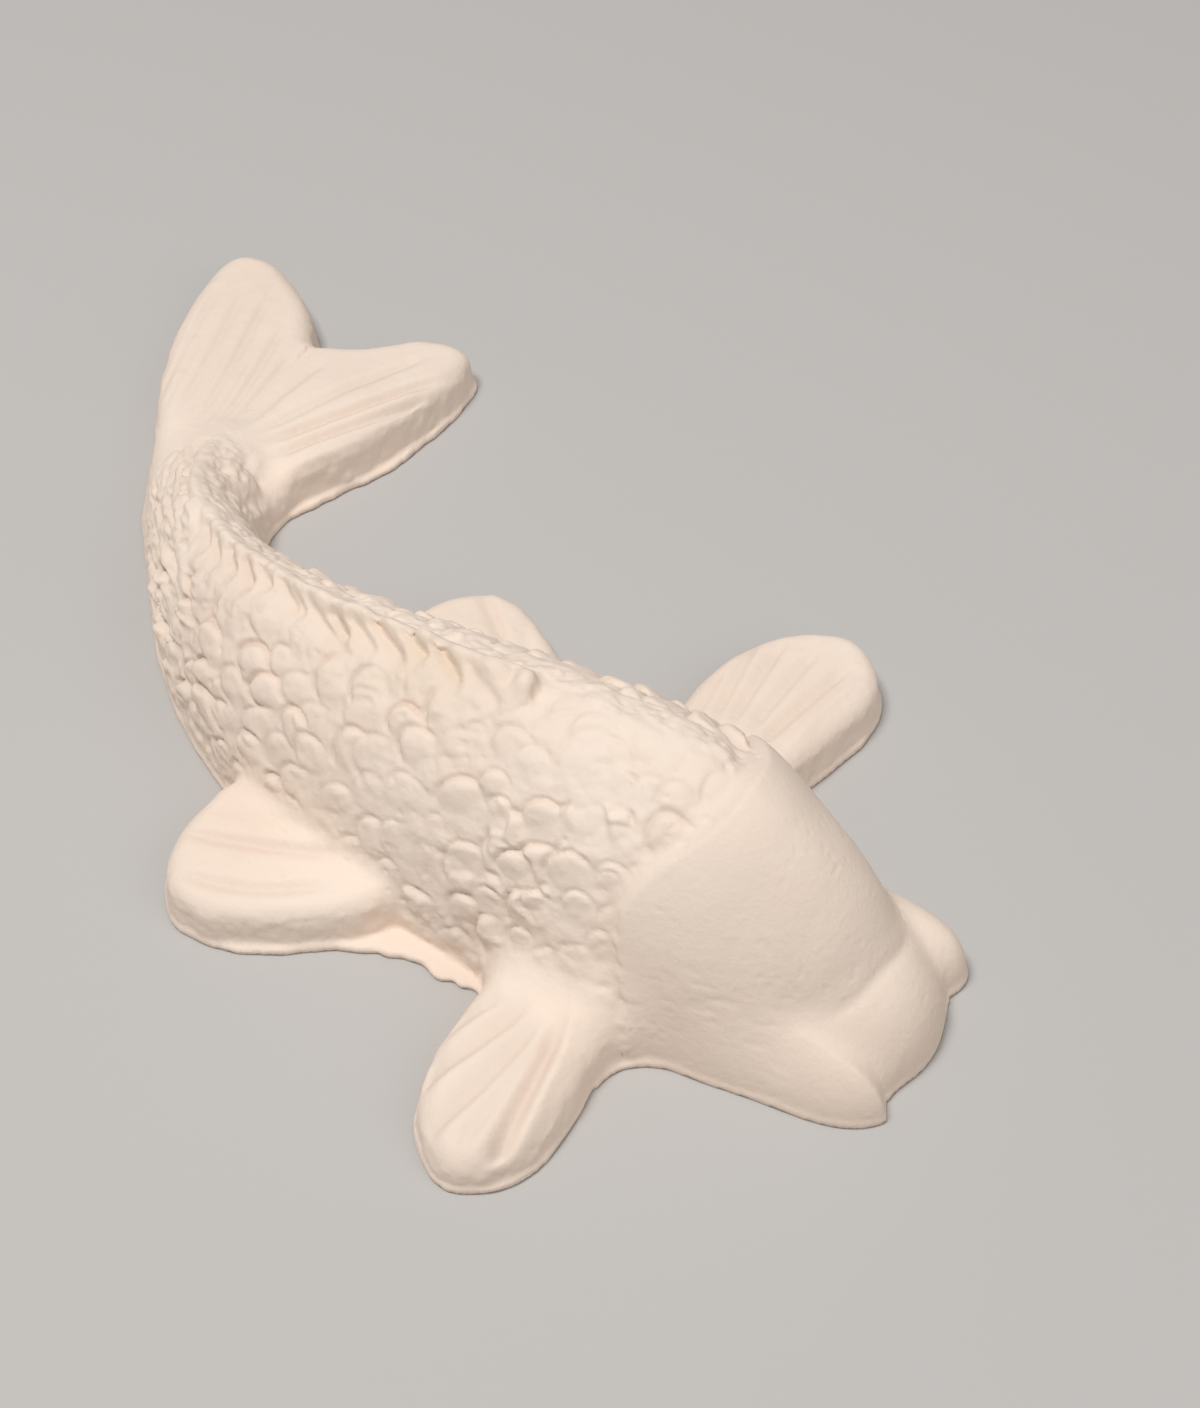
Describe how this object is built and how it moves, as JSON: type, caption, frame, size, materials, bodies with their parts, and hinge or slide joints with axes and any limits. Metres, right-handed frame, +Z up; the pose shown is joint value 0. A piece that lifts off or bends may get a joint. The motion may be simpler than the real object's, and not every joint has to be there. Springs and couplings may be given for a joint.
{
  "type": "fish figurine",
  "caption": "Small cast plaster koi lying on a flat underside, with a smooth head, scaled trunk, spread paddle fins and a tail that curls to its left; an ornament to paint or display.",
  "frame": {"origin": "on the flat underside, under the spine at the fish's shoulder", "axes": "+X ahead along the head, +Y to the fish's left, +Z up from the surface that it lies on"},
  "size_m": [0.1159, 0.0946, 0.025],
  "materials": {
    "plaster": "unpainted chalky white casting plaster, matte"
  },
  "bodies": {
    "root": {"head": "plaster", "snout": "plaster", "left_barbel": "plaster", "right_barbel": "plaster", "trunk": "plaster", "tail_stem": "plaster", "dorsal_fin": "plaster", "left_pectoral_fin": "plaster", "right_pectoral_fin": "plaster", "left_pelvic_fin": "plaster", "right_pelvic_fin": "plaster", "left_tail_lobe": "plaster", "right_tail_lobe": "plaster"}
  },
  "joints": []
}
